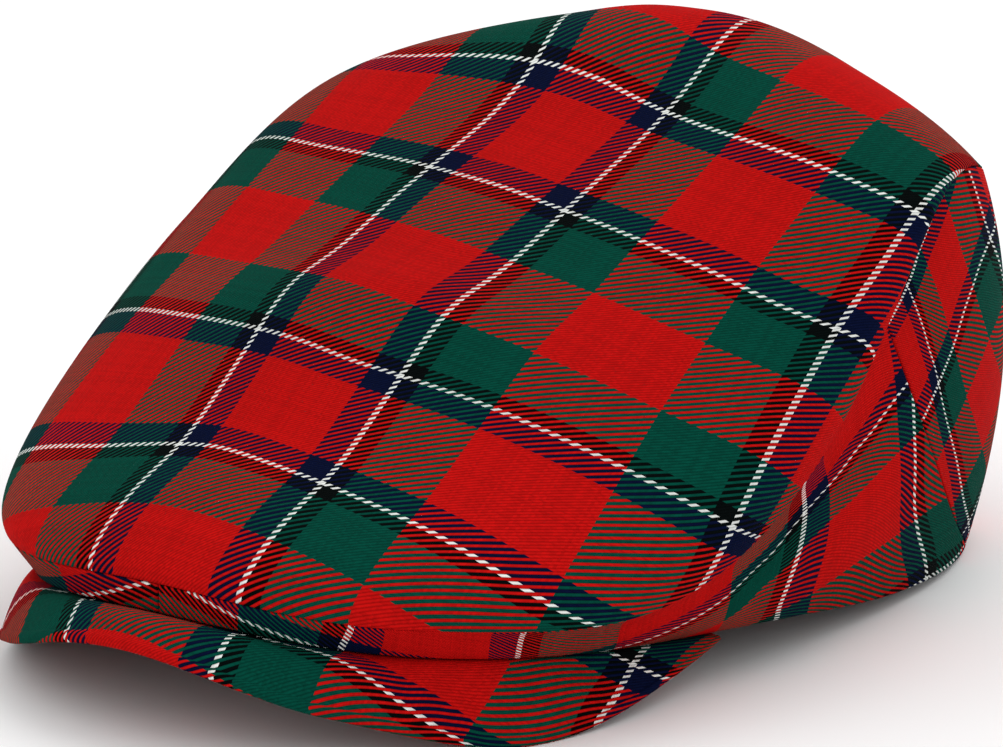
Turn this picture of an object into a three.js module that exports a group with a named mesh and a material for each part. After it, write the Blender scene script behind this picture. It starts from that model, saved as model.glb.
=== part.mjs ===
// A flat cap sewn from five cloth pieces: a one-piece top, two side panels that begin as a narrow
// strip under the front of the top, a back panel, and a short curved peak.
//
// Units are millimetres. +Z is up, the peak points along -Y and the wearer's left is +X. The cap
// rests on Z = 0, on the low sides of its peak and on the back of its hem.
import * as THREE from "three";

// ---------------------------------------------------------------------------------------------
// Driving dimensions
// ---------------------------------------------------------------------------------------------

const CLOTH = 2; // thickness of the lined cloth wall
const SEAM_GAP = 0.4; // left between two pieces that are sewn together
const PEAK_GAP = 0.3; // left between the front strip and the peak

// Outlines seen from above: ovals of a half width, a reach to the front and one to the back.
// A squareness of 2 is an ellipse, and more is squarer.
const HEM = { halfWidth: 73.7, front: 96.9, back: 115.9, squareness: 2.8 };
const CROWN_SEAM = { halfWidth: 84.5, front: 103.9, back: 113.3, squareness: 2.45 };
// The outlines are drawn about a point this far in front of the middle of the whole cap.
const MIDDLE = 3;

// The middle of the top panel, and how steeply the top rises there towards the back.
const TOP_CENTRE = new THREE.Vector3(0, 45.3, 110.3);
const TOP_RISE = Math.tan(THREE.MathUtils.degToRad(30));

// One row for every 30 degrees round the cap, from the centre front to the centre back.
//   seamHeight      height of the seam round the top panel
//   flat            how far out the top keeps the slope of its middle, as a share of the way
//   rollOut/rollUp  how far the top panel swells out and up before it turns in to that seam
//   upper/lower     how far the wall swells out in its upper and lower third (minus is tucked in)
//   footHeight      height of the wall's lower edge: on the peak in front, the hem behind it
//   footOut         how far that edge lies outside the hem's outline
const STATION_ANGLE = 30;
const COLUMNS = ["seamHeight", "flat", "rollOut", "rollUp", "upper", "lower", "footHeight", "footOut"];
const STATIONS = [
  [28.6, 0.38, 1.5, 12, 0, 0, 22.7, 7], // 0, centre front
  [25, 0.42, 7, 14.5, 0, 0, 18, 0.8], // 30
  [24.3, 0.46, 19.7, 25.2, -5, 4, 11.7, -5.5], // 60
  [46.5, 0.52, 21.8, 25.2, -2, 10.5, 8.9, 0], // 90
  [88.7, 0.62, 7, 4.5, 11, 10, 3.6, 0], // 120
  [82, 0.64, -10.5, 5, 9.8, 5, 0.1, -0.3], // 150
  [82, 0.62, -12, 3, 10.5, 9, 0, 0], // 180, centre back
];

// The seam between a side panel and the back panel, in degrees round the cap from the front. It
// runs down steeply at first (straight is that share of its way round) and sweeps back near the hem.
const BACK_SEAM = { atTop: 103.6, atHem: 146.7, straight: 0.28, bend: 4 };

const PEAK = {
  endAngle: 75.9, // degrees round the cap at which the peak ends on the hem
  reach: 11.9, // from the front strip to the peak's edge, on the centre line
  endReach: 1, // the same at the peak's ends
  squareness: 2.16,
  sweep: 97.5, // degrees of its oval that each half of the edge runs through
  thickness: 2.6,
  endThickness: 1.2,
  tuckIn: 3.5, // how far the peak runs in under the strip
  tuckOut: 0.6, // how far it stays level outside the strip
  nose: 1.2, // how far the rounded edge stands out
  swell: 2.5, // how far its top is domed between strip and edge
};
// Height of the underside of the peak's edge, from the centre to each end in equal steps.
const PEAK_UNDERSIDE = [18.2, 9, 0, 8.9];

// Facets
const SIDE_COLUMNS = 28; // along a side panel
const BACK_COLUMNS = 32; // round the back panel
const TOP_RINGS = 12;
const WALL_ROWS = 9;
const PEAK_STEPS = 44;
const PEAK_ROWS = 4;

const CLOTH_MATERIAL = { color: 0xa81416, roughness: 0.85, metalness: 0 };

// ---------------------------------------------------------------------------------------------
// Smooth values between the rows of a table
// ---------------------------------------------------------------------------------------------

/** A smooth curve through four evenly spaced values, between the second and the third. */
function between(before, start, end, after, t) {
  const bend = 2 * before - 5 * start + 4 * end - after;
  const twist = 3 * start - before - 3 * end + after;
  return 0.5 * (2 * start + (end - before) * t + bend * t ** 2 + twist * t ** 3);
}

/** The value of one column of STATIONS at an angle round the cap; both sides are alike. */
function station(name, angle) {
  const last = STATIONS.length - 1;
  const column = COLUMNS.indexOf(name);
  const turn = Math.abs(THREE.MathUtils.euclideanModulo(angle + 180, 360) - 180);
  const place = turn / STATION_ANGLE;
  const row = Math.min(Math.floor(place), last - 1);
  const value = (index) => STATIONS[last - Math.abs(last - Math.abs(index))][column];
  return between(value(row - 1), value(row), value(row + 1), value(row + 2), place - row);
}

/** The height of the underside of the peak's edge, t from 0 at its centre to 1 at its ends. */
function peakUnderside(t) {
  const last = PEAK_UNDERSIDE.length - 1;
  const place = Math.abs(t) * last;
  const row = Math.min(Math.floor(place), last - 1);
  const beyond = 2 * PEAK_UNDERSIDE[last] - PEAK_UNDERSIDE[last - 1];
  const value = (index) => (index > last ? beyond : PEAK_UNDERSIDE[Math.abs(index)]);
  const height = between(value(row - 1), value(row), value(row + 1), value(row + 2), place - row);
  return Math.max(0, height);
}

// ---------------------------------------------------------------------------------------------
// The cap's surfaces, as functions of the angle round it and of the share of the way down or out
// ---------------------------------------------------------------------------------------------

/** The level direction that points away from the middle of the cap at an angle round it. */
function outward(angle) {
  const radians = THREE.MathUtils.degToRad(angle);
  return new THREE.Vector3(Math.sin(radians), -Math.cos(radians), 0);
}

/** Distance from the middle to an oval outline at an angle round the cap. */
function reach(outline, angle) {
  const direction = outward(angle);
  const length = direction.y < 0 ? outline.front : outline.back;
  const side = Math.abs(direction.x / outline.halfWidth) ** outline.squareness;
  const end = Math.abs(direction.y / length) ** outline.squareness;
  return (side + end) ** (-1 / outline.squareness);
}

/** A point of the seam round the top panel. */
function seamPoint(angle) {
  return outward(angle).multiplyScalar(reach(CROWN_SEAM, angle)).setZ(station("seamHeight", angle));
}

/** A point of the wall's lower edge. */
function footPoint(angle) {
  const distance = reach(HEM, angle) + station("footOut", angle);
  return outward(angle).multiplyScalar(distance).setZ(Math.max(0, station("footHeight", angle)));
}

/** A point of a cubic curve with four control points. */
function bezier(start, first, second, end, t) {
  return start.clone().multiplyScalar((1 - t) ** 3)
    .addScaledVector(first, 3 * t * (1 - t) ** 2)
    .addScaledVector(second, 3 * t ** 2 * (1 - t))
    .addScaledVector(end, t ** 3);
}

/** The outside of the top panel, from its middle (share 0) to its seam (share 1). */
function topPoint(angle, share) {
  const seam = seamPoint(angle);
  const run = new THREE.Vector3(seam.x - TOP_CENTRE.x, seam.y - TOP_CENTRE.y, 0);
  const length = run.length();
  const away = run.divideScalar(length);
  const out = station("rollOut", angle);
  const flat = station("flat", angle) * (length + out);
  const first = TOP_CENTRE.clone().addScaledVector(away, flat);
  first.z += TOP_RISE * away.y * flat;
  const second = seam.clone().addScaledVector(away, out);
  second.z += station("rollUp", angle);
  return bezier(TOP_CENTRE, first, second, seam, share);
}

/** The outside of the wall, from the seam (share 0) down to its lower edge (share 1). */
function wallPoint(angle, share) {
  const swell = 3 * share * (1 - share);
  const bulge = swell * ((1 - share) * station("upper", angle) + share * station("lower", angle));
  return seamPoint(angle).lerp(footPoint(angle), share).addScaledVector(outward(angle), bulge);
}

/** The outward normal of a surface given as a function of angle and share. */
function normalOf(surface, angle, share) {
  const turn = 0.2;
  const step = 0.004;
  const low = Math.max(0, share - step);
  const high = Math.min(1, share + step);
  const round = surface(angle + turn, share).sub(surface(angle - turn, share));
  const down = surface(angle, high).sub(surface(angle, low));
  return down.cross(round).normalize();
}

/** From the seam's outside to its inside: it halves the angle between top panel and wall. */
function seamMitre(angle) {
  const top = normalOf(topPoint, angle, 1);
  const inward = top.clone().add(normalOf(wallPoint, angle, 0)).normalize().negate();
  return inward.multiplyScalar(CLOTH / -inward.dot(top));
}

// ---------------------------------------------------------------------------------------------
// Closed solids from two grids of points
// ---------------------------------------------------------------------------------------------

/**
 * A closed solid between an outer and an inner grid of points, given as rows of equal length.
 * A grid that goes right round is a ring: its rows close on themselves, and its first row,
 * which is a single point repeated, closes its middle. Each four-sided facet is split along its
 * shorter diagonal, so left and right come out alike.
 */
function solidBetween(outer, inner, ring) {
  const rows = outer.length;
  const columns = outer[0].length;
  const corners = [];
  const face = (a, b, c) => corners.push(...a.toArray(), ...b.toArray(), ...c.toArray());
  const quad = (a, b, c, d) => {
    if (a.equals(b)) {
      face(a, c, d);
    } else if (a.distanceTo(c) < b.distanceTo(d)) {
      face(a, b, c);
      face(a, c, d);
    } else {
      face(b, c, d);
      face(b, d, a);
    }
  };
  const steps = ring ? columns : columns - 1;
  for (let column = 0; column < steps; column += 1) {
    const next = (column + 1) % columns;
    for (let row = 0; row < rows - 1; row += 1) {
      quad(outer[row][next], outer[row][column], outer[row + 1][column], outer[row + 1][next]);
      quad(inner[row][column], inner[row][next], inner[row + 1][next], inner[row + 1][column]);
    }
    const end = rows - 1;
    quad(outer[end][next], outer[end][column], inner[end][column], inner[end][next]);
    if (!ring) quad(outer[0][column], outer[0][next], inner[0][next], inner[0][column]);
  }
  for (let row = 0; row < rows - 1 && !ring; row += 1) {
    const end = columns - 1;
    quad(outer[row + 1][0], outer[row][0], inner[row][0], inner[row + 1][0]);
    quad(outer[row + 1][end], inner[row + 1][end], inner[row][end], outer[row][end]);
  }
  const geometry = new THREE.BufferGeometry();
  geometry.setAttribute("position", new THREE.Float32BufferAttribute(corners, 3));
  geometry.computeVertexNormals();
  return geometry;
}

/** A list of whole steps from 0 to count, each turned into a value. */
function steps(count, value) {
  return Array.from({ length: count + 1 }, (_, index) => value(index / count));
}

// ---------------------------------------------------------------------------------------------
// The pieces
// ---------------------------------------------------------------------------------------------

/** Angles round the top's seam, at the same places as the columns of the walls below it. */
function seamAngles() {
  const { atTop } = BACK_SEAM;
  const left = steps(SIDE_COLUMNS, (along) => along * atTop);
  const back = steps(BACK_COLUMNS, (along) => THREE.MathUtils.lerp(atTop, 360 - atTop, along));
  const right = left.map((angle) => 360 - angle).reverse();
  return [...left.slice(0, -1), ...back, ...right.slice(1, -1)];
}

/** The one-piece top, a slanted shallow dish whose edge turns under to the seam. */
function topPanel() {
  const angles = seamAngles();
  const outer = steps(TOP_RINGS, (share) => angles.map((angle) => topPoint(angle, share)));
  const middle = new THREE.Vector3(0, TOP_RISE, -1).setLength(CLOTH).add(TOP_CENTRE);
  const inner = steps(TOP_RINGS, (share) => angles.map((angle) => {
    if (share === 0) return middle.clone();
    if (share === 1) return seamPoint(angle).add(seamMitre(angle));
    return topPoint(angle, share).addScaledVector(normalOf(topPoint, angle, share), -CLOTH);
  }));
  return solidBetween(outer, inner, true);
}

/** A stretch of the wall between two lines, each an angle round the cap for a share down it. */
function wallPanel(startAngle, endAngle, columns) {
  const angleAt = (along, share) => THREE.MathUtils.lerp(startAngle(share), endAngle(share), along);
  const grid = (point) => steps(WALL_ROWS, (share) => steps(columns, (along) => point(along, share)));
  const drop = (angle, share) => {
    const start = SEAM_GAP / seamPoint(angle).distanceTo(footPoint(angle));
    return THREE.MathUtils.lerp(start, 1, share);
  };
  const outer = grid((along, share) => {
    const angle = angleAt(along, share);
    return wallPoint(angle, drop(angle, share));
  });
  const inner = grid((along, share) => {
    const angle = angleAt(along, share);
    const point = wallPoint(angle, drop(angle, share));
    if (share === 0) return point.add(seamMitre(angle));
    if (share === 1) return point.addScaledVector(outward(angle), -CLOTH);
    return point.addScaledVector(normalOf(wallPoint, angle, drop(angle, share)), -CLOTH);
  });
  return solidBetween(outer, inner, false);
}

/** Half a seam's gap as degrees round the cap; lean is the seam's run round the cap for its drop. */
function halfGap(angle, lean = 0) {
  return THREE.MathUtils.radToDeg((0.5 * SEAM_GAP * Math.hypot(1, lean)) / reach(HEM, angle));
}

/** The side/back seam as an angle for a share of the way down the wall. */
function backSeam(share) {
  const { atTop, atHem, straight, bend } = BACK_SEAM;
  return THREE.MathUtils.lerp(atTop, atHem, straight * share + (1 - straight) * share ** bend);
}

/** The side/back seam's half gap for a share of the way down the wall. */
function backSeamGap(share) {
  const angle = backSeam(share);
  const { straight, bend, atTop, atHem } = BACK_SEAM;
  const turn = (atHem - atTop) * (straight + (1 - straight) * bend * share ** (bend - 1));
  const run = THREE.MathUtils.degToRad(turn) * reach(HEM, angle);
  return halfGap(angle, run / (seamPoint(angle).z - footPoint(angle).z));
}

/** A side panel, from the centre-front seam to the side/back seam; side is 1 left, -1 right. */
function sidePanel(side) {
  const front = () => halfGap(0);
  const back = (share) => backSeam(share) - backSeamGap(share);
  if (side > 0) return wallPanel(front, back, SIDE_COLUMNS);
  return wallPanel((share) => -back(share), () => -front(), SIDE_COLUMNS);
}

/** The back panel, round the back from one side/back seam to the other. */
function backPanel() {
  const left = (share) => backSeam(share) + backSeamGap(share);
  return wallPanel(left, (share) => 360 - left(share), BACK_COLUMNS);
}

/** The tip of the peak's edge in plan, t from -1 at the wearer's right end to 1 at the left. */
function peakTip(t) {
  const endOut = PEAK.tuckOut + PEAK.endReach + PEAK.nose;
  const end = footPoint(PEAK.endAngle).addScaledVector(outward(PEAK.endAngle), endOut);
  const front = footPoint(0).y - PEAK.reach;
  const power = 2 / PEAK.squareness;
  const bent = (value) => Math.sign(value) * Math.abs(value) ** power;
  const sweep = THREE.MathUtils.degToRad(PEAK.sweep);
  const behind = bent(Math.cos(sweep));
  const x = (end.x / bent(Math.sin(sweep))) * bent(Math.sin(t * sweep));
  const forward = (bent(Math.cos(t * sweep)) - behind) / (1 - behind);
  return new THREE.Vector3(x, THREE.MathUtils.lerp(end.y, front, forward), 0);
}

/** The peak, one curved sheet that is high in the middle and low at its sides. */
function peak() {
  const section = (t) => {
    const thickness = THREE.MathUtils.lerp(PEAK.thickness, PEAK.endThickness, t ** 4);
    const angle = t * PEAK.endAngle;
    const foot = footPoint(angle).add(new THREE.Vector3(0, 0, -PEAK_GAP));
    const away = outward(angle);
    const root = foot.clone().addScaledVector(away, -PEAK.tuckIn);
    const start = foot.clone().addScaledVector(away, PEAK.tuckOut);
    const tip = peakTip(t).setZ(peakUnderside(t) + thickness / 2);
    const back = start.clone().sub(tip).setZ(0).normalize();
    const edge = tip.clone().addScaledVector(back, PEAK.nose).setZ(peakUnderside(t) + thickness);
    const dome = (share) => {
      const point = start.clone().lerp(edge, share);
      point.z += PEAK.swell * 4 * share * (1 - share) * (1 - t ** 2);
      return point;
    };
    const top = [root, ...steps(PEAK_ROWS, dome)];
    const bottom = top.map((point) => point.clone().setZ(point.z - thickness));
    top.push(tip.clone().setZ(tip.z + thickness / 4));
    bottom.push(tip.clone().setZ(tip.z - thickness / 4));
    return { top, bottom };
  };
  const sections = steps(PEAK_STEPS, (along) => section(2 * along - 1));
  const rows = sections[0].top.map((_, row) => row);
  const outer = rows.map((row) => sections.map(({ top }) => top[row]));
  const inner = rows.map((row) => sections.map(({ bottom }) => bottom[row]));
  return solidBetween(outer, inner, false);
}

// ---------------------------------------------------------------------------------------------
// The cap
// ---------------------------------------------------------------------------------------------

/** A named piece of cloth with a material of its own. */
function piece(name, geometry) {
  geometry.translate(0, -MIDDLE, 0);
  const mesh = new THREE.Mesh(geometry, new THREE.MeshStandardMaterial(CLOTH_MATERIAL));
  mesh.name = name;
  return mesh;
}

const cap = new THREE.Group();
cap.name = "flat_cap";
cap.add(
  piece("top_panel", topPanel()),
  piece("side_panel_left", sidePanel(1)),
  piece("side_panel_right", sidePanel(-1)),
  piece("back_panel", backPanel()),
  piece("peak", peak()),
);

export default cap;
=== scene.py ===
"""The looks of a tartan flat cap: its five sewn cloth pieces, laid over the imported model.

Every piece starts as a flat unit sheet that is given its thickness and is then laid on the cap's
form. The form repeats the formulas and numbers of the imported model's source, but here the top has
shallow dents, the peak ends a little sooner at its sides, and the wall swells further low down on
both sides of the centre back. The same pass writes a UV layer named "cloth" that counts the twill's
ribs across and along the cloth, and the tartan is drawn from it.

Most of the form's numbers and the camera's were worked out by a least-squares fit outside this
script, and nearly all the points of the stripe lines by tracing stripes on to the form, also
outside it. They are rounded here. They weren't chosen by hand.

The form's sizes are in millimetres; a finished mesh is in metres.
"""

import logging
import math
from dataclasses import dataclass, field
from enum import Enum
from typing import Callable, Optional, Union

import bmesh
import bpy
import numpy as np
from mathutils import Matrix, Vector


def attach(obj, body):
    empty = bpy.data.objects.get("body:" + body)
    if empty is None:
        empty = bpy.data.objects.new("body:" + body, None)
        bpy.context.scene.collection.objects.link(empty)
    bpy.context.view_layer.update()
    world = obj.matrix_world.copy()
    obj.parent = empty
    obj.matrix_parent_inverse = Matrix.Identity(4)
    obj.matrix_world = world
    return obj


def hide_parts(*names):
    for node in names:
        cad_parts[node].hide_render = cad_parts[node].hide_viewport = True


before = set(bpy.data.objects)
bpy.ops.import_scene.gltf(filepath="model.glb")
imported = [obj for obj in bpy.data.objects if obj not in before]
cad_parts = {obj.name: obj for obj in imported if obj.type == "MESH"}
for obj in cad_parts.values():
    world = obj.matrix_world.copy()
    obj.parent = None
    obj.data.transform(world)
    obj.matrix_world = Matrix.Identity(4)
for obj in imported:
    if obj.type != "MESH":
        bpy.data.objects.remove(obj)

LOG = logging.getLogger("flat_cap")
METRES = 0.001  # metres in a millimetre
CLOTH_LAYER = "cloth"  # the UV layer that counts ribs

Array = np.ndarray
Surface = Callable[[Array, Array], Array]
Sheet = bmesh.types.BMesh
Socket = bpy.types.NodeSocket
Tree = bpy.types.NodeTree
Number = Union[float, Socket]

LENGTH_STEPS = 20  # straight steps in which the length of a curve is added up
PLATE_UNIT = 100.0  # millimetres in one unit of the thin plate that the stripes bend
TINY = 1e-9  # stands in for a gap of nothing, which has no logarithm
SHARP_ANGLE = math.radians(60.0)  # edges that turn more than this are not smoothed


# ---- The form of the cap ----


def outward(angle: Array) -> Array:
    """The level direction that points away from the cap's middle at an angle round it, in degrees."""
    turn = np.radians(angle)
    return np.stack([np.sin(turn), -np.cos(turn), np.zeros_like(turn)], -1)


def unit(vector: Array) -> Array:
    """The vectors of an array at length 1."""
    return vector / np.linalg.norm(vector, axis=-1, keepdims=True)


def mix(start: Array, end: Array, share: Array) -> Array:
    """The points that lie a share of the way between two arrays of points."""
    return start + (end - start) * np.asarray(share)[..., None]


def smooth_step(value: Array) -> Array:
    """Rises from 0 to 1 with level ends as the value goes from 0 to 1."""
    held = np.clip(value, 0.0, 1.0)
    return held * held * (3 - 2 * held)


def curve(values: tuple, after: float, place: Array) -> Array:
    """A smooth curve through evenly spaced values, mirrored at its start.

    Args:
        values: The values at the places 0, 1, 2 and so on.
        after: The value that the curve heads for past its end.
        place: The places at which it is read.

    Returns:
        The curve's value at each place.
    """
    row = np.minimum(np.floor(place), len(values) - 2).astype(int)
    padded = np.array([*values, after])
    before, start, end, beyond = (padded[np.abs(row + shift)] for shift in (-1, 0, 1, 2))
    share = place - row
    bend = 2 * before - 5 * start + 4 * end - beyond
    twist = 3 * start - before - 3 * end + beyond
    return 0.5 * (2 * start + (end - before) * share + bend * share**2 + twist * share**3)


@dataclass(frozen=True)
class Oval:
    """An outline seen from above, drawn about the cap's middle. A squareness of 2 is an ellipse."""

    half_width: float
    front: float
    back: float
    squareness: float

    def reach(self, angle: Array) -> Array:
        """The distance from the middle to the outline at an angle round the cap."""
        direction = outward(angle)
        length = np.where(direction[..., 1] < 0, self.front, self.back)
        side = np.abs(direction[..., 0] / self.half_width) ** self.squareness
        end = np.abs(direction[..., 1] / length) ** self.squareness
        return (side + end) ** (-1 / self.squareness)


@dataclass(frozen=True)
class Dent:
    """A soft swelling of the top, or a hollow where its height is less than nothing."""

    along: float  # place of its middle, towards the back
    height: float
    half_length: float
    half_width: float = 50.0

    def lift(self, points: Array) -> Array:
        """How far the dent lifts each point."""
        side = points[..., 0] / self.half_width
        end = (points[..., 1] - self.along) / self.half_length
        return self.height * np.exp(-(side**2) - end**2)


@dataclass(frozen=True)
class Form:
    """The cap's outside, as functions of the angle round it and the share of the way out or down."""

    cloth: float = 2.0  # thickness of the lined cloth
    middle: float = 3.0  # the outlines are drawn about a point this far in front of the box's middle
    hem: Oval = Oval(73.7, 96.9, 115.9, 2.8)
    seam: Oval = Oval(84.5, 103.9, 113.3, 2.45)
    top_centre: tuple = (0.0, 45.3, 110.3)
    top_rise: float = math.tan(math.radians(30.0))
    station_angle: float = 30.0
    columns: tuple = (
        "seam_height", "flat", "roll_out", "roll_up", "upper", "lower", "foot_height", "foot_out",
    )
    stations: tuple = (
        (28.6, 0.38, 1.5, 12.0, 0.0, 0.0, 22.7, 7.0),
        (25.0, 0.42, 7.0, 14.5, 0.0, 0.0, 18.0, 0.8),
        (24.3, 0.46, 19.7, 25.2, -5.0, 4.0, 11.7, -5.5),
        (46.5, 0.52, 21.8, 25.2, -2.0, 10.5, 8.9, 0.0),
        (88.7, 0.62, 7.0, 4.5, 11.0, 10.0, 3.6, 0.0),
        (82.0, 0.64, -10.5, 5.0, 9.8, 8.3, 0.1, -0.3),
        (82.0, 0.62, -12.0, 3.0, 10.5, 9.0, 0.0, 0.0),
    )
    back_seam_top: float = 103.6  # where the side/back seam meets the seam round the top
    back_seam_foot: float = 146.7  # where it meets the hem
    back_seam_straight: float = 0.28  # the share of its way round that it makes evenly
    back_seam_bend: float = 4.0  # how late it makes the rest
    dent_fade: float = 0.25  # the share of the top, next to its seam, over which the dents fade out
    dents: tuple = (Dent(34.0, -4.2, 28.0), Dent(-36.0, 4.2, 13.0), Dent(-72.0, -3.2, 14.0))

    def station(self, name: str, angle: Array) -> Array:
        """The value of one column of the stations at an angle; both sides are alike."""
        values = [row[self.columns.index(name)] for row in self.stations]
        turned = np.abs((angle + 180.0) % 360.0 - 180.0)
        return curve(values, values[-2], turned / self.station_angle)

    def seam_point(self, angle: Array) -> Array:
        """A point of the seam round the top."""
        point = outward(angle) * self.seam.reach(angle)[..., None]
        point[..., 2] = self.station("seam_height", angle)
        return point

    def foot_point(self, angle: Array) -> Array:
        """A point of the walls' lower edge."""
        distance = self.hem.reach(angle) + self.station("foot_out", angle)
        point = outward(angle) * distance[..., None]
        point[..., 2] = np.maximum(0.0, self.station("foot_height", angle))
        return point

    def top_point(self, angle: Array, share: Array) -> Array:
        """A point of the top, from its middle (share 0) to its seam (share 1)."""
        centre = np.array(self.top_centre)
        seam = self.seam_point(angle)
        run = (seam - centre) * (1.0, 1.0, 0.0)
        away = unit(run)
        out = self.station("roll_out", angle)[..., None]
        flat = self.station("flat", angle)[..., None] * (np.linalg.norm(run, axis=-1, keepdims=True) + out)
        rise = np.array((0.0, 0.0, 1.0))
        first = centre + (away + rise * self.top_rise * away[..., 1:2]) * flat
        second = seam + away * out + rise * self.station("roll_up", angle)[..., None]
        t = share[..., None]
        point = centre * (1 - t) ** 3 + first * 3 * t * (1 - t) ** 2
        point = point + second * 3 * t**2 * (1 - t) + seam * t**3
        lift = sum(dent.lift(point) for dent in self.dents)
        point[..., 2] += lift * smooth_step((1.0 - share) / self.dent_fade)
        return point

    def wall_point(self, angle: Array, share: Array) -> Array:
        """A point of the wall, from the seam (share 0) down to its lower edge (share 1)."""
        swell = 3 * share * (1 - share)
        bulge = swell * ((1 - share) * self.station("upper", angle) + share * self.station("lower", angle))
        straight = mix(self.seam_point(angle), self.foot_point(angle), share)
        return straight + outward(angle) * bulge[..., None]

    def normal(self, surface: Surface, angle: Array, share: Array) -> Array:
        """The outward normal of one of the surfaces."""
        turn, step = 0.2, 0.004  # how far to each side the surface is looked at, in degrees and as a share
        low, high = np.clip(share - step, 0.0, 1.0), np.clip(share + step, 0.0, 1.0)
        across = surface(angle + turn, share) - surface(angle - turn, share)
        down = surface(angle, high) - surface(angle, low)
        return unit(np.cross(down, across))

    def seam_mitre(self, angle: Array) -> Array:
        """From the seam's outside to its inside, halving the angle between top and wall."""
        end, start = np.ones_like(angle), np.zeros_like(angle)
        top = self.normal(self.top_point, angle, end)
        inward = -unit(top + self.normal(self.wall_point, angle, start))
        return inward * (self.cloth / -np.sum(inward * top, axis=-1, keepdims=True))

    def back_seam(self, share: Array) -> Array:
        """The angle of the side/back seam at a share of the way down the wall."""
        even = self.back_seam_straight * share
        late = (1.0 - self.back_seam_straight) * share**self.back_seam_bend
        return self.back_seam_top + (self.back_seam_foot - self.back_seam_top) * (even + late)

    def girth(self, angle: Array) -> Array:
        """The length along the walls' lower edge from the centre front to an angle."""
        fine = np.arange(-361.0, 362.0)
        steps = np.linalg.norm(np.diff(self.foot_point(fine), axis=0), axis=-1)
        run = np.concatenate([[0.0], np.cumsum(steps)])
        return np.interp(angle, fine, run - np.interp(0.0, fine, run))


def run_length(surface: Surface, angle: Array, start: Array, end: Array) -> Array:
    """The length of a surface's line from one share to another at the same angle.

    Args:
        surface: The surface, as a function of angle and share.
        angle: The angle of each line, in degrees.
        start: The share at which each line starts.
        end: The share at which it ends.

    Returns:
        One length for each line, in millimetres.
    """
    length = np.zeros_like(angle)
    before = surface(angle, start)
    for step in range(1, LENGTH_STEPS + 1):
        after = surface(angle, start + (end - start) * step / LENGTH_STEPS)
        length += np.linalg.norm(after - before, axis=-1)
        before = after
    return length


# ---- How the cloth lies ----


@dataclass(frozen=True)
class Line:
    """A line of the tartan on a piece that is laid flat: its rib number and some of its points."""

    rib: float
    points: tuple


@dataclass(frozen=True)
class Lay:
    """How the cloth lies on a piece: where lines of known ribs run, with the rest spread evenly."""

    across: tuple  # lines that run along the cloth, each at one rib across it
    along: tuple  # lines that run across the cloth, each at one rib along it
    ease: float = 0.003  # how far the cloth may miss a line to stay smooth

    def spread(self, lines: tuple, places: Array) -> Array:
        """Rib numbers from the lines by a thin plate bent through them.

        Args:
            lines: The lines of one direction.
            places: Places on the flat piece, in millimetres.

        Returns:
            A rib number for each place.
        """
        pins = np.array([point for line in lines for point in line.points]) / PLATE_UNIT
        ribs = np.array([line.rib for line in lines for _ in line.points])
        count = len(pins)

        def bend(spots: Array) -> Array:
            """The plate's bending at each spot for each pin."""
            gap = np.linalg.norm(spots[:, None, :] - pins[None, :, :], axis=-1)
            return gap**2 * np.log(np.maximum(gap, TINY))

        def level(spots: Array) -> Array:
            """The plate's flat part."""
            return np.concatenate([np.ones((len(spots), 1)), spots], axis=1)

        system = np.zeros((count + 3, count + 3))
        system[:count, :count] = bend(pins) + self.ease * np.eye(count)
        system[:count, count:] = level(pins)
        system[count:, :count] = level(pins).T
        weights = np.linalg.solve(system, np.concatenate([ribs, np.zeros(3)]))
        spots = places / PLATE_UNIT
        return bend(spots) @ weights[:count] + level(spots) @ weights[count:]

    def ribs(self, places: Array) -> Array:
        """The rib numbers across and along the cloth at places on the flat piece."""
        return np.stack([self.spread(self.across, places), self.spread(self.along, places)], -1)


# Nearly all the points of these lines were worked out outside this script, as its top says.
TOP_LAY = Lay(
    across=(
        Line(-10.5, ((-26, 19), (-20, -4), (-20, -30), (-22, -56), (-22, -90), (-20, -130), (-18, -169))),
        Line(10.5, ((14, 27), (20, 2), (19, -31), (18, -62), (17, -100), (18, -135), (19, -168))),
        Line(44.5, (
            (84, 5), (85, -4), (86, -17), (88, -32), (89, -53), (91, -68), (93, -85), (96, -103),
            (99, -117),
        )),
    ),
    along=(
        Line(-28.6, ((14, 27),)),
        Line(-19.5, ((-26, 19), (18, 4))),
        Line(-10.5, (
            (-55, -4), (-28, -4), (0, -7), (15, -12), (35, -17), (58, -19), (75, -19), (86, -17),
            (89, -14),
        )),
        Line(10.5, (
            (-78, -30), (-56, -38), (-30, -41), (0, -46), (31, -52), (60, -56), (77, -57), (85, -55),
            (92, -51), (98, -47),
        )),
        Line(44.5, (
            (-76, -90), (-51, -97), (-21, -102), (5, -107), (35, -108), (65, -109), (84, -107),
            (96, -103), (103, -100),
        )),
        Line(65.5, (
            (-66, -135), (-40, -137), (-11, -133), (18, -137), (45, -140), (66, -142), (84, -140),
        )),
        Line(78.5, ((-19, -159), (18, -160))),
        Line(-54.5, ((0, 80),)),
    ),
    ease=0.01,
)
SIDE_ACROSS = (
    Line(-20.85, ((124, 12), (123, 10), (124, 6), (126, 0))),
    Line(-12.85, ((136, 22), (135, 17), (134, 11), (135, 3))),
    Line(-10.5, ((138, 33), (141, 28), (140, 21), (138, 15), (137, 10), (138, 6), (141, 2))),
    Line(-6.75, ((143, 38), (147, 33), (147, 27))),
    Line(6.75, ((163, 60), (164, 55), (165, 48), (166, 37), (170, 24), (176, 15), (182, 9), (190, 3))),
    Line(10.5, ((169, 47), (170, 40), (172, 33), (176, 23), (186, 13), (196, 5), (200, 2))),
    Line(12.85, ((192, 13), (200, 7))),
)
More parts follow.
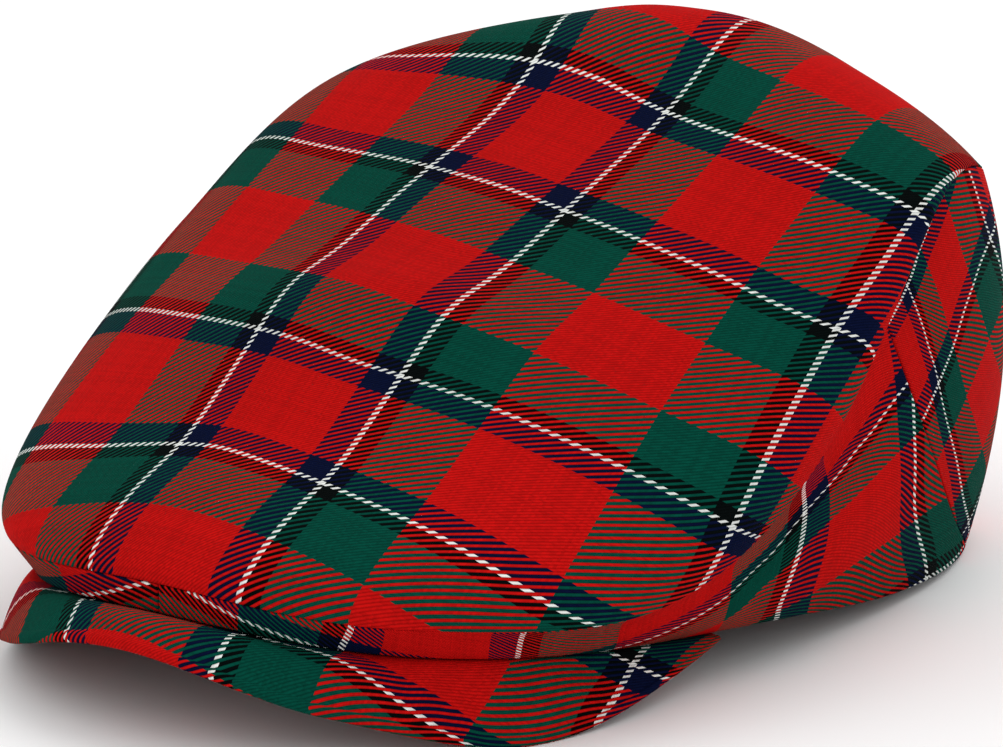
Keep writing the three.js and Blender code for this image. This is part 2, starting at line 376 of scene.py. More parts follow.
SIDE_ALONG = (
    Line(6.75, ((61, 0), (84, 0), (147, 34), (151, 38), (156, 42), (161, 48), (165, 52))),
    Line(10.5, (
        (100, 3), (117, 10), (124, 14), (132, 19), (141, 27), (148, 32), (154, 38), (160, 43),
        (168, 50),
    )),
    Line(12.85, ((124, 12), (128, 15), (132, 18), (137, 22))),
    Line(20.85, ((124, 6), (130, 14), (140, 20), (147, 24), (152, 27), (157, 30), (161, 33), (166, 36))),
    Line(34.15, ((146, 7), (151, 9), (169, 15), (176, 17), (183, 19), (189, 20))),
    Line(42.15, ((183, 1), (190, 4), (201, 5), (214, 5))),
    Line(44.5, ((195, 0), (205, 1), (217, 1))),
)
LEFT_LAY = Lay(
    across=(
        Line(-85.0, ((0, 3),)),
        Line(-65.5, ((43, 7), (39, 0))),
        Line(-44.5, ((75, 12), (74, 0))),
        *SIDE_ACROSS,
    ),
    along=(Line(10.5, ((8, 6), (19, 3), (30, 1), (36, 0))), *SIDE_ALONG),
)
RIGHT_LAY = Lay(
    across=(
        Line(-88.0, ((0, 3),)), Line(-75.8, ((29, 4),)),
        Line(-65.5, ((53, 7), (49, 0))),
        Line(-44.5, ((82, 12), (81, 0))),
        *SIDE_ACROSS,
    ),
    along=(Line(10.5, ((2, 6), (8, 4), (14, 2), (19, 1))), *SIDE_ALONG),
)
BACK_LAY = Lay(
    across=(
        Line(6.75, ((169, 64), (171, 59), (174, 51))),
        Line(10.5, (
            (170, 69), (172, 63), (174, 56), (179, 45), (185, 37), (192, 30), (207, 17), (231, 3),
        )),
        Line(20.85, ((176, 73), (178, 67), (181, 58), (184, 53), (191, 43))),
        Line(34.15, ((188, 74), (191, 68), (195, 61), (201, 54), (207, 49))),
        Line(44.5, ((201, 90), (203, 80), (206, 74), (214, 68))),
        Line(81.0, ((306, 74),)), Line(55.0, ((306, 4),)), Line(117.0, ((406, 74),)),
        Line(92.0, ((406, 4),)),
    ),
    along=(
        Line(-10.5, ((177, 79), (174, 76), (172, 72), (168, 67), (164, 63))),
        Line(-6.75, ((177, 75), (172, 68), (169, 64))),
        Line(6.75, ((190, 70), (184, 64), (179, 57), (174, 51))),
        Line(10.5, ((217, 75), (206, 74), (195, 70), (187, 63), (182, 55), (176, 46))),
        Line(20.85, ((211, 57), (202, 54), (196, 49), (191, 44))),
        Line(47.0, ((306, 74),)), Line(72.0, ((306, 4),)), Line(84.0, ((406, 74),)),
        Line(109.0, ((406, 4),)),
    ),
)
PEAK_LAY = Lay(
    across=(
        Line(-44.5, ((-67, -38), (-70, -50))),
        Line(-34.15, ((-60, -71), (-59, -85))),
        Line(-20.85, ((-34, -102), (-33, -107))),
        Line(-12.85, ((-21, -107), (-19, -112))),
        Line(-10.5, ((-19, -105), (-16, -110), (-15, -114))),
        Line(6.75, ((14, -110), (14, -114))),
        Line(10.5, ((20, -106), (21, -110), (21, -114))),
        Line(12.85, ((24, -105), (25, -110))),
        Line(20.85, ((38, -101), (38, -107))),
        Line(34.15, ((60, -71), (60, -81), (59, -87))),
        Line(42.15, ((68, -56), (69, -65))),
        Line(44.5, ((67, -37), (69, -45), (71, -55), (71, -60))),
    ),
    along=(
        Line(-10.5, ((-66, -47), (-69, -43), (66, -47), (69, -44), (73, -40))),
        Line(-6.75, ((-67, -54), (64, -57), (67, -54), (70, -50), (73, -47))),
        Line(6.75, ((-50, -92), (45, -93), (50, -92), (56, -88), (60, -85), (64, -81))),
        Line(10.5, (
            (-37, -98), (-40, -99), (36, -98), (43, -97), (47, -96), (53, -93), (56, -91), (60, -88),
        )),
        Line(12.85, ((-32, -102), (28, -103), (35, -102), (48, -98), (51, -97))),
        Line(20.85, ((-17, -114), (-8, -114), (3, -114), (15, -114))),
    ),
)


# ---- Meshes ----


def add_object(name: str, data: bpy.types.ID) -> bpy.types.Object:
    """A new object in the scene."""
    made = bpy.data.objects.new(name, data)
    bpy.context.scene.collection.objects.link(made)
    return made


def add_mesh(name: str, sheet: Sheet) -> bpy.types.Object:
    """A new object with a sheet's mesh; the sheet is freed."""
    mesh = bpy.data.meshes.new(name)
    sheet.to_mesh(mesh)
    sheet.free()
    return add_object(name, mesh)


def flat_sheet(columns: int, rows: int) -> Sheet:
    """A sheet of quads over the unit square, with its thickness running from 0 to 1 in depth."""
    sheet = bmesh.new()
    bmesh.ops.create_grid(sheet, x_segments=columns, y_segments=rows, size=0.5)
    bmesh.ops.translate(sheet, verts=sheet.verts, vec=(0.5, 0.5, 0.0))
    bmesh.ops.solidify(sheet, geom=sheet.faces[:], thickness=1.0)
    return sheet


def places_of(sheet: Sheet) -> Array:
    """The coordinates of a mesh's vertices, in their order."""
    sheet.verts.index_update()
    return np.array([vertex.co[:] for vertex in sheet.verts], float)


def finish_mesh(sheet: Sheet, name: str, points: Array, ribs: Array, middle: float) -> bpy.types.Object:
    """Lays a sheet's vertices on their points and makes it an object.

    Args:
        sheet: The sheet, which is freed.
        name: The name of the new piece.
        points: A point for each vertex, in millimetres, about the outlines' middle.
        ribs: The rib numbers across and along the cloth for each vertex.
        middle: How far the outlines' middle lies in front of the box's middle.

    Returns:
        The new object, linked to the scene.
    """
    layer = sheet.loops.layers.uv.new(CLOTH_LAYER)
    laid = (points - (0.0, middle, 0.0)) * METRES
    for vertex, place in zip(sheet.verts, laid):
        vertex.co = place
    for face in sheet.faces:
        face.smooth = True
        for loop in face.loops:
            loop[layer].uv = ribs[loop.vert.index]
    if sheet.calc_volume(signed=True) < 0:
        bmesh.ops.reverse_faces(sheet, faces=sheet.faces[:])
    piece = add_mesh(name, sheet)
    piece.data.set_sharp_from_angle(angle=SHARP_ANGLE)
    return piece


@dataclass(frozen=True)
class Fold:
    """A cloth edge that is turned in round a small radius."""

    radius: float = 0.5
    cells: int = 5  # facets round the turn

    def place(self, step: Array, count: int, span: Array, low: bool = True, high: bool = True) -> tuple:
        """Places across a piece whose edges are folded.

        Args:
            step: The way across, from 0 to 1, in even steps.
            count: The number of steps.
            span: The distance across in millimetres.
            low: Whether the edge at 0 is folded.
            high: Whether the edge at 1 is folded.

        Returns:
            The share of the way across, and how far each place is round its fold, from 0 to 1.
        """
        turn = self.cells / count
        first, last = (turn if low else 0.0), (1.0 - turn if high else 1.0)
        lead = self.radius / span * (1.0 if low else 0.0)
        trail = self.radius / span * (1.0 if high else 0.0)
        share = lead + (step - first) / (last - first) * (1.0 - lead - trail)
        before = np.sin(np.clip((first - step) / turn, 0.0, 1.0) * math.pi / 2)
        after = np.sin(np.clip((step - last) / turn, 0.0, 1.0) * math.pi / 2)
        share = np.where(step < first, self.radius / span * (1.0 - before), share)
        share = np.where(step > last, 1.0 - self.radius / span * (1.0 - after), share)
        return np.clip(share, 0.0, 1.0), np.maximum(before * low, after * high)

    def tuck(self, *turns: Array) -> Array:
        """How far a place lies below the cloth's face where it is round one or more folds."""
        around = sum(turn**2 for turn in turns)
        return self.radius * (1.0 - np.sqrt(np.clip(1.0 - around, 0.0, 1.0)))


# ---- Finishes ----


class Slope(Enum):
    """Which way the twill's ribs climb, seen with the cloth's ribs counted across and along."""

    RISING = 1.0
    FALLING = -1.0


@dataclass(frozen=True)
class Stripe:
    """A stripe of the tartan: the rib at which it starts, counted from a sett's middle, and its dye."""

    start: float
    dye: tuple


RED = (0.44, 0.0045, 0.004)
NAVY = (0.0018, 0.004, 0.022)
WHITE = (0.68, 0.70, 0.67)
BLACK = (0.0012, 0.0024, 0.0024)
GREEN = (0.0008, 0.050, 0.033)


@dataclass(frozen=True)
class Tartan:
    """A sett that is mirrored at both its ends, and the yarn that it is woven from."""

    half_repeat: float = 27.5
    stripes: tuple = (
        Stripe(0.0, RED),
        Stripe(6.75, NAVY),
        Stripe(10.18, WHITE),
        Stripe(10.82, BLACK),
        Stripe(12.85, GREEN),
        Stripe(20.85, RED),
    )
    threads_per_rib: float = 4.0
    dark_swell: float = 0.045  # the share of a rib's width that a dark yarn gains
    swell_range: float = 0.05  # the difference in lightness at which it gains all of that
    rib_height: float = 0.00010  # metres
    rib_power: float = 0.6  # less makes a rib flatter on top
    slubs_per_rib: float = 1.7  # thick and thin places along a thread
    slub_detail: float = 2.0
    patches_per_metre: float = 18.0  # soft patches from pressing and handling
    patch_detail: float = 3.0
    patch_range: tuple = (0.3, 0.7)  # the noise that counts as the darkest and the lightest patch


TARTAN = Tartan()
FLOAT, COLOUR, VECTOR = "NodeSocketFloat", "NodeSocketColor", "NodeSocketVector"


class Graph:
    """A node tree with short calls for placing and joining nodes."""

    nodes_in_row = 12
    node_width = 180.0
    node_height = 220.0

    def __init__(self, tree: Tree) -> None:
        """Starts on a tree."""
        self.tree = tree
        self.count = 0

    def add(self, kind: str, inputs: Optional[dict] = None, **settings: object) -> bpy.types.Node:
        """Adds a node with its properties, and joins or sets its inputs, given by name or number."""
        node = self.tree.nodes.new(kind)
        row, column = divmod(self.count, self.nodes_in_row)
        node.location = (self.node_width * column, -self.node_height * row)
        self.count += 1
        for name, value in settings.items():
            setattr(node, name, value)
        for name, value in (inputs or {}).items():
            self.feed(node.inputs[name], value)
        return node

    def feed(self, socket: Socket, value: Number) -> None:
        """Joins a socket to another, or sets it to a plain value."""
        if isinstance(value, Socket):
            self.tree.links.new(value, socket)
        else:
            socket.default_value = value

    def math(self, operation: str, *values: Number) -> Socket:
        """The result of a Math node."""
        return self.add("ShaderNodeMath", dict(enumerate(values)), operation=operation).outputs[0]

    def blend(self, share: Number, start: Number, end: Number, how: str = "MIX") -> Socket:
        """The result of a colour Mix node."""
        inputs = {"Factor": share, "A": start, "B": end}
        node = self.add("ShaderNodeMix", inputs, data_type="RGBA", blend_type=how)
        return next(socket for socket in node.outputs if socket.type == "RGBA")

    def span(self, value: Number, low: float, high: float, start: float, end: float) -> Socket:
        """A value carried from one range into another."""
        inputs = {"Value": value, "From Min": low, "From Max": high, "To Min": start, "To Max": end}
        return self.add("ShaderNodeMapRange", inputs).outputs[0]

    def place(self, group: Tree, **inputs: Number) -> dict:
        """The outputs of a group's node; an underscore in an input's name stands for a space."""
        named = {name.replace("_", " "): value for name, value in inputs.items()}
        return self.add("ShaderNodeGroup", named, node_tree=group).outputs

    def shade(self, inputs: dict) -> None:
        """Ends a material's tree with a shader."""
        shader = self.add("ShaderNodeBsdfPrincipled", inputs)
        self.add("ShaderNodeOutputMaterial", {"Surface": shader.outputs["BSDF"]})


def new_material(name: str) -> tuple:
    """A new material and the graph of its empty tree."""
    material = bpy.data.materials.new(name)
    material.use_nodes = True
    material.node_tree.nodes.clear()
    return material, Graph(material.node_tree)


class Weaves:
    """The shader node groups that every cloth material shares."""

    def __init__(self, tartan: Tartan) -> None:
        """Builds each group once."""
        self.tartan = tartan
        self.sett = self.group("sett", {"Rib": FLOAT}, {"Dye": COLOUR}, self.fill_sett)
        self.twill = self.group(
            "twill",
            {"Across": FLOAT, "Along": FLOAT, "Slope": FLOAT, "Lengthwise": COLOUR, "Crosswise": COLOUR},
            {"Along Yarn": FLOAT, "Dye": COLOUR, "Height": FLOAT},
            self.fill_twill,
        )
        self.yarn = self.group(
            "yarn",
            {"Across": FLOAT, "Along": FLOAT, "Along Yarn": FLOAT},
            {"Shade": FLOAT, "Height": FLOAT},
            self.fill_yarn,
        )
        self.use = self.group("use", {"Place": VECTOR}, {"Shade": FLOAT}, self.fill_use)

    @staticmethod
    def group(name: str, inputs: dict, outputs: dict, fill: Callable[[Graph, dict], dict]) -> Tree:
        """A new group with named sockets.

        Args:
            name: The group's name.
            inputs: The kind of each input socket by name.
            outputs: The kind of each output socket by name.
            fill: Places the nodes between, and gives the value of each output socket.

        Returns:
            The group.
        """
        tree = bpy.data.node_groups.new(name, "ShaderNodeTree")
        for way, sockets in (("INPUT", inputs), ("OUTPUT", outputs)):
            for label, kind in sockets.items():
                tree.interface.new_socket(label, in_out=way, socket_type=kind)
        graph = Graph(tree)
        given = graph.add("NodeGroupInput").outputs
        graph.add("NodeGroupOutput", fill(graph, given))
        return tree

    def fill_sett(self, graph: Graph, given: dict) -> dict:
        """The dye of the yarn at a rib of the sett."""
        half = self.tartan.half_repeat
        place = graph.math("PINGPONG", given["Rib"], half)
        node = graph.add("ShaderNodeValToRGB", {"Fac": graph.math("DIVIDE", place, half)})
        ramp = node.color_ramp
        ramp.interpolation = "CONSTANT"
        ramp.elements.remove(ramp.elements[1])
        for number, stripe in enumerate(self.tartan.stripes):
            spot = stripe.start / half
            element = ramp.elements.new(spot) if number else ramp.elements[0]
            element.position = spot
            element.color = (*stripe.dye, 1.0)
        return {"Dye": node.outputs["Color"]}

    def fill_twill(self, graph: Graph, given: dict) -> dict:
        """Which of the two yarns lies on top, the yarn's dye, and the height of its rib.

        A dark dye swells the yarn, so a dark rib is a little wider than the light one beside it.
        """
        dyes = given["Lengthwise"], given["Crosswise"]
        light = [graph.add("ShaderNodeRGBToBW", {"Color": dye}).outputs["Val"] for dye in dyes]
        swell, limit = self.tartan.dark_swell, self.tartan.swell_range
        share = graph.span(graph.math("SUBTRACT", *light), -limit, limit, 0.5 + swell, 0.5 - swell)
        climb = graph.math("MULTIPLY", given["Along"], given["Slope"])
        phase = graph.math("FRACT", graph.math("ADD", given["Across"], climb))
        on_top = graph.math("LESS_THAN", phase, share)
        first = graph.math("DIVIDE", phase, share)
        rest = graph.math("SUBTRACT", 1.0, phase)
        second = graph.math("DIVIDE", rest, graph.math("SUBTRACT", 1.0, share))
        rib = graph.math("PINGPONG", graph.math("MINIMUM", first, second), 0.5)
        return {
            "Along Yarn": on_top,
            "Dye": graph.blend(on_top, given["Crosswise"], given["Lengthwise"]),
            "Height": graph.math("POWER", graph.math("MULTIPLY", rib, 2.0), self.tartan.rib_power),
        }

    def fill_yarn(self, graph: Graph, given: dict) -> dict:
        """The shade and the height of single threads, across and along the cloth."""
        tartan, shades, heights = self.tartan, [], []
        for own, other in (("Across", "Along"), ("Along", "Across")):
            thread = graph.math("MULTIPLY", given[other], tartan.threads_per_rib)
            number = graph.math("FLOOR", thread)
            dyed = graph.add("ShaderNodeTexWhiteNoise", {"W": number}, noise_dimensions="1D")
            along = graph.math("MULTIPLY", given[own], tartan.slubs_per_rib)
            spot = graph.add("ShaderNodeCombineXYZ", {"X": number, "Y": along}).outputs[0]
            grain = {"Vector": spot, "Scale": 1.0, "Detail": tartan.slub_detail}
            slub = graph.add("ShaderNodeTexNoise", grain, noise_dimensions="2D")
            uneven = graph.math("ADD", dyed.outputs["Value"], slub.outputs["Fac"])
            shades.append(graph.math("MULTIPLY", uneven, 0.5))
            heights.append(graph.math("MULTIPLY", graph.math("PINGPONG", thread, 0.5), 2.0))
        chosen = {}
        for name, (across, along) in (("Shade", shades), ("Height", heights)):
            pair = {"Factor": given["Along Yarn"], "A": across, "B": along}
            chosen[name] = graph.add("ShaderNodeMix", pair, data_type="FLOAT").outputs[0]
        return chosen

    def fill_use(self, graph: Graph, given: dict) -> dict:
        """Soft unevenness of the whole cloth from pressing and handling."""
        tartan = self.tartan
        grain = {"Vector": given["Place"], "Scale": tartan.patches_per_metre, "Detail": tartan.patch_detail}
        patch = graph.add("ShaderNodeTexNoise", grain).outputs["Fac"]
        return {"Shade": graph.span(patch, *tartan.patch_range, 0.0, 1.0)}


@dataclass(frozen=True)
class ClothFinish:
    """The finish of one piece: the same tartan, with the way its twill climbs.

    The shades are what the dye is multiplied by, at the darkest and at the lightest; the rib shades are
    painted shade and a painted highlight.
    """

    name: str
    slope: Slope
    tartan: Tartan = TARTAN
    yarn_range: tuple = (0.2, 0.8)  # the noise that counts as the darkest and the lightest yarn
    yarn_shades: tuple = (0.82, 1.16)
    patch_shades: tuple = (0.96, 1.03)
    painted_rib_shade: tuple = (0.62, 1.24)  # painted shade in the valley between two ribs, up to a painted highlight on the crest
    rib_relief: float = 0.7  # the share of the relief that the ribs make
    thread_relief: float = 0.3
    roughness: tuple = (0.82, 0.95)
    specular: float = 0.02

    def material(self, weaves: Weaves) -> bpy.types.Material:
        """The piece's material."""
        material, graph = new_material(self.name)
        layer = graph.add("ShaderNodeUVMap", uv_map=CLOTH_LAYER).outputs["UV"]
        count = graph.add("ShaderNodeSeparateXYZ", {0: layer}).outputs
        across, along = count["X"], count["Y"]
        twill = graph.place(
            weaves.twill, Across=across, Along=along, Slope=self.slope.value,
            Lengthwise=graph.place(weaves.sett, Rib=across)["Dye"],
            Crosswise=graph.place(weaves.sett, Rib=along)["Dye"],
        )
        yarn = graph.place(weaves.yarn, Across=across, Along=along, Along_Yarn=twill["Along Yarn"])
        use = graph.place(weaves.use, Place=graph.add("ShaderNodeTexCoord").outputs["Object"])
        shade = graph.math(
            "MULTIPLY",
            graph.span(yarn["Shade"], *self.yarn_range, *self.yarn_shades),
            graph.span(use["Shade"], 0.0, 1.0, *self.patch_shades),
        )
        # painted shade and highlight: the dye is darkened in the valleys between ribs and lightened on
        # their crests, where light would fall
        shade = graph.math("MULTIPLY", shade, graph.span(twill["Height"], 0.0, 1.0, *self.painted_rib_shade))
        tone_and_painted_shade = graph.add("ShaderNodeCombineXYZ", {"X": shade, "Y": shade, "Z": shade}).outputs[0]
        relief = graph.math(
            "ADD",
            graph.math("MULTIPLY", twill["Height"], self.rib_relief),
            graph.math("MULTIPLY", yarn["Height"], self.thread_relief),
        )
        bump = graph.add(
            "ShaderNodeBump", {"Strength": 1.0, "Distance": self.tartan.rib_height, "Height": relief}
        )
        graph.shade({
            "Base Color": graph.blend(1.0, twill["Dye"], tone_and_painted_shade, "MULTIPLY"),
            "Roughness": graph.span(yarn["Shade"], 0.0, 1.0, *self.roughness),
            "Normal": bump.outputs["Normal"],
            "Specular IOR Level": self.specular,
        })
        return material


# ---- The pieces ----


@dataclass
class Piece:
    """A sewn piece of the cap: it builds its mesh, then takes its finish and its place."""

    form: Form
    node: str
    slot: str
    finish: ClothFinish
    flat: Optional[tuple] = None  # width and length in metres of the cloth that it is cut from
    flat_area: Optional[float] = None  # square metres
    rests_on: tuple = ()
    made: Optional[bpy.types.Object] = field(default=None, init=False)

    def build(self) -> None:
        """Makes the piece's mesh; each kind of piece has its own way."""
        raise NotImplementedError

    def dress(self, weaves: Weaves) -> None:
        """Gives the piece its material and ties it to the frame."""
        self.made.data.materials.append(self.finish.material(weaves))
        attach(self.made, "root")
        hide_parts(self.node)
        LOG.info("%s: %d faces", self.made.name, len(self.made.data.polygons))


@dataclass
class TopPanel(Piece):
    """The one-piece top, a slanted shallow dish whose edge turns under to the seam."""

    flat: tuple = (0.225, 0.254)
    flat_area: float = 0.0417
    rests_on: tuple = ("side_panel_left", "side_panel_right", "back_panel")
    lay: Lay = TOP_LAY
    fold: Fold = Fold()
    columns: int = 360
    rows: int = 90
    mitred: float = 4.0  # how near its seam the cloth's thickness starts to lean to the mitre
    nearest: float = 0.01  # the least share at which the top's normal is taken
    weld: float = 1e-5  # vertices nearer than this are one

    def build(self) -> None:
        """Wraps a sheet into a flat disc, thickens it and lays it on the form."""
        sheet = bmesh.new()
        bmesh.ops.create_grid(sheet, x_segments=self.columns, y_segments=self.rows, size=0.5)
        for vertex in sheet.verts:
            turn, reach = (vertex.co.x + 0.5) * math.tau, vertex.co.y + 0.5
            vertex.co = (reach * math.sin(turn), -reach * math.cos(turn), 0.0)
        bmesh.ops.remove_doubles(sheet, verts=sheet.verts, dist=self.weld)
        bmesh.ops.recalc_face_normals(sheet, faces=sheet.faces)
        bmesh.ops.solidify(sheet, geom=sheet.faces[:], thickness=1.0)
        flat = places_of(sheet)
        angle = np.degrees(np.arctan2(flat[:, 0], -flat[:, 1]))
        step = np.minimum(np.hypot(flat[:, 0], flat[:, 1]), 1.0)
        inner = np.abs(flat[:, 2]) > 0.5
        points, ribs = self.lay_down(angle, step, inner)
        self.made = finish_mesh(sheet, "tartan_top", points, ribs, self.form.middle)

    def lay_down(self, angle: Array, step: Array, inner: Array) -> tuple:
        """Points and rib numbers of the disc's vertices.

        Args:
            angle: Each vertex's angle round the cap.
            step: Its way out from the middle, from 0 to 1.
            inner: Whether it is on the cloth's inside.

        Returns:
            The points and the rib numbers.
        """
        form, top = self.form, self.form.top_point
        zero, one = np.zeros_like(angle), np.ones_like(angle)
        length = run_length(top, angle, zero, one)
        share, turn = self.fold.place(step, self.rows, length, low=False)
        outside = top(angle, share)
        straight = -form.cloth * form.normal(top, angle, np.maximum(share, self.nearest))
        lean = smooth_step((1.0 - share) * length / self.mitred)
        depth = np.where(inner, 1.0, self.fold.tuck(turn) / form.cloth)
        points = outside + mix(form.seam_mitre(angle), straight, lean) * depth[:, None]
        away = unit((form.seam_point(angle) - form.top_centre) * (1.0, 1.0, 0.0))
        slant = unit(np.stack([away[:, 0], away[:, 1] * math.hypot(1.0, form.top_rise)], -1))
        flat = slant * run_length(top, angle, zero, share)[:, None]
        return points, self.lay.ribs(flat)


@dataclass
class WallPanel(Piece):
    """A panel of the wall between two seams, from the seam round the top down to the hem."""

    lay: Lay = BACK_LAY
    side: float = 1.0  # 1 is the wearer's left and -1 the right
    fold: Fold = Fold()
    columns: int = 200
    rows: int = 44
    seam_gap: float = 0.1  # width of the gap that is left at a seam
    mitred: float = 4.0  # how near an edge the cloth's thickness starts to lean

    def seam_turn(self) -> float:
        """How far round the panel stays clear of the middle of a seam, in degrees."""
        return math.degrees(0.5 * self.seam_gap / self.form.hem.front)

    def edges(self, share: Array) -> tuple:
        """The angles at which the panel starts and ends, at a share of the way down."""
        raise NotImplementedError

    def build(self) -> None:
        """Lays a thick flat sheet on the wall."""
        form, wall = self.form, self.form.wall_point
        sheet = flat_sheet(self.columns, self.rows)
        flat = places_of(sheet)
        step, drop, inner = flat[:, 0], flat[:, 1], np.abs(flat[:, 2]) > 0.5
        zero, one = np.zeros_like(step), np.ones_like(step)
        start, end = self.edges(drop)
        rough = start + (end - start) * step
        height = run_length(wall, rough, zero, one)
        share, down_turn = self.fold.place(drop, self.rows, height)
        share = self.seam_gap / height + share * (1.0 - self.seam_gap / height)
        start, end = self.edges(share)
        middle = wall(0.5 * (start + end), share)
        span = np.abs(end - start) * math.pi / 180.0 * np.linalg.norm(middle[:, :2], axis=-1)
        across, side_turn = self.fold.place(step, self.columns, span)
        angle = start + (end - start) * across
        outside = wall(angle, share)
        straight = -form.cloth * form.normal(wall, angle, share)
        lean = smooth_step(share * height / self.mitred)
        level = -form.cloth * outward(angle)
        foot_lean = smooth_step((1.0 - share) * height / self.mitred)
        inward = mix(form.seam_mitre(angle), mix(level, straight, foot_lean), lean)
        hem_turn = np.where(drop > 0.5, down_turn, 0.0)
        depth = np.where(
            inner,
            1.0 - self.fold.tuck(hem_turn) / form.cloth,
            self.fold.tuck(down_turn, side_turn) / form.cloth,
        )
        points = outside + inward * depth[:, None]
        up = run_length(wall, angle, share, one)
        ribs = self.lay.ribs(np.stack([form.girth(angle) * self.side, up], -1))
        self.made = finish_mesh(sheet, self.node.replace("_panel", "_cloth"), points, ribs, form.middle)


@dataclass
class SidePanel(WallPanel):
    """A side panel, from the centre-front seam to the side/back seam."""

    flat: tuple = (0.237, 0.057)
    flat_area: float = 0.0054
    rests_on: tuple = ("peak", "back_panel")

    def edges(self, share: Array) -> tuple:
        """The centre-front seam and the side/back seam."""
        gap = self.seam_turn()
        return self.side * gap * np.ones_like(share), self.side * (self.form.back_seam(share) - gap)


@dataclass
class BackPanel(WallPanel):
    """The back panel, round the back from one side/back seam to the other."""

    flat: tuple = (0.290, 0.086)
    flat_area: float = 0.0217
    rests_on: tuple = ("side_panel_left", "side_panel_right")
    columns: int = 300

    def edges(self, share: Array) -> tuple:
        """The two side/back seams."""
        start = self.form.back_seam(share) + self.seam_turn()
        return start, 360.0 - start


@dataclass
class Peak(Piece):
    """The peak, one curved stiff sheet with a rounded edge, high in the middle and low at its sides."""

    lay: Lay = PEAK_LAY
    gap: float = 0.3  # below the front strip
    end_angle: float = 74.6  # degrees round the cap at which the peak ends on the hem
    reach: float = 11.9  # from the front strip to its edge, on the centre line
    end_reach: float = 0.3
    squareness: float = 2.16  # of the oval that its edge follows; 2 is an ellipse
    sweep: float = 97.5  # degrees of its oval that each half of the edge runs through
    thickness: float = 2.6
    end_thickness: float = 1.2
    tuck_in: float = 3.5  # how far it runs in under the strip
    tuck_out: float = 0.6  # how far it stays level outside the strip
    nose: float = 1.2  # how far its rounded edge stands out
    swell: float = 2.5  # how far its top is domed
    underside: tuple = (18.2, 9.0, 0.0, 8.9)  # height of its edge, from the centre to each end
    columns: int = 260
    face_rows: int = 16
    nose_rows: int = 10
    root_rows: float = 2.0  # of the face's rows, those that run under the front strip

    def under(self, t: Array) -> Array:
        """The height of the underside of the peak's edge, t from 0 at its centre to 1 at its ends."""
        beyond = 2 * self.underside[-1] - self.underside[-2]
        place = np.abs(t) * (len(self.underside) - 1)
        return np.maximum(0.0, curve(self.underside, beyond, place))

    def tip(self, t: Array) -> Array:
        """The tip of the peak's edge in plan, t from -1 at the wearer's right end to 1 at the left."""
        form, power = self.form, 2.0 / self.squareness
        angle = np.array(self.end_angle)
        end = form.foot_point(angle) + outward(angle) * (self.tuck_out + self.end_reach + self.nose)
        front = form.foot_point(np.array(0.0))[1] - self.reach

        def bent(value: Array) -> Array:
            """The value on a squared oval."""
            return np.sign(value) * np.abs(value) ** power

        sweep = math.radians(self.sweep)
        behind = bent(np.array(math.cos(sweep)))
        across = end[0] / bent(np.array(math.sin(sweep))) * bent(np.sin(t * sweep))
        forward = (bent(np.cos(t * sweep)) - behind) / (1.0 - behind)
        return np.stack([across, end[1] + (front - end[1]) * forward, np.zeros_like(t)], -1)

    def build(self) -> None:
        """Lays a sheet round the peak's section, bridges its root's two edges and fills its two ends."""
        rows = 2 * self.face_rows + self.nose_rows
        sheet = bmesh.new()
        bmesh.ops.create_grid(sheet, x_segments=self.columns, y_segments=rows, size=0.5)
        flat = places_of(sheet)
        t, step = 2.0 * flat[:, 0], (flat[:, 1] + 0.5) * rows
        points, ribs = self.lay_down(t, step)
        root = [vertex for vertex, place in zip(sheet.verts, step) if place < 0.5 or place > rows - 0.5]
        edges = [edge for edge in sheet.edges if edge.is_boundary and all(v in root for v in edge.verts)]
        bmesh.ops.bridge_loops(sheet, edges=edges)
        bmesh.ops.holes_fill(sheet, edges=[edge for edge in sheet.edges if edge.is_boundary], sides=0)
        self.made = finish_mesh(sheet, "peak_cloth", points, ribs, self.form.middle)

    def lay_down(self, t: Array, step: Array) -> tuple:
        """Points and rib numbers round the section.

        Args:
            t: Each vertex's place along the peak, from -1 to 1.
            step: Its place round the section, counted in rows from the root's upper side.

        Returns:
            The points and the rib numbers.
        """
        form = self.form
        thickness = self.thickness + (self.end_thickness - self.thickness) * t**4
        angle = t * self.end_angle
        foot = form.foot_point(angle) - (0.0, 0.0, self.gap)
        away = outward(angle)
        root, start = foot - away * self.tuck_in, foot + away * self.tuck_out
        tip = self.tip(t)
        back = unit((start - tip) * (1.0, 1.0, 0.0))
        edge = tip + back * self.nose
        edge[:, 2] = self.under(t) + thickness
        rows = 2 * self.face_rows + self.nose_rows
        lower = step > rows / 2
        inward = np.where(lower, rows - step, step)
        rooted = self.root_rows
        share = np.clip((inward - rooted) / (self.face_rows - rooted), 0.0, 1.0)
        points = mix(root, start, np.clip(inward / rooted, 0.0, 1.0))
        face = mix(start, edge, share)
        face[:, 2] += self.swell * 4 * share * (1 - share) * (1 - t**2)
        points = np.where((inward > rooted)[:, None], face, points)
        turn = np.clip((step - self.face_rows) / self.nose_rows, 0.0, 1.0) * math.pi
        nose = edge - back * (self.nose * np.sin(turn))[:, None]
        nose[:, 2] -= thickness * 0.5 * (1.0 - np.cos(turn))
        points[:, 2] -= np.where(lower, thickness, 0.0)
        around = (step > self.face_rows) & (step < rows - self.face_rows)
        points = np.where(around[:, None], nose, points)
        length = np.linalg.norm(edge - start, axis=-1)
        run = np.where(inward < rooted, -self.tuck_in * (1.0 - inward / rooted), share * length)
        rim = length + self.nose * math.pi
        run = np.where(lower, rim + length - run, run)
        run = np.where(around, length + self.nose * turn, run)
        flat = (start - back * run[:, None])[:, :2]
        return points, self.lay.ribs(flat)


# ---- The studio ----


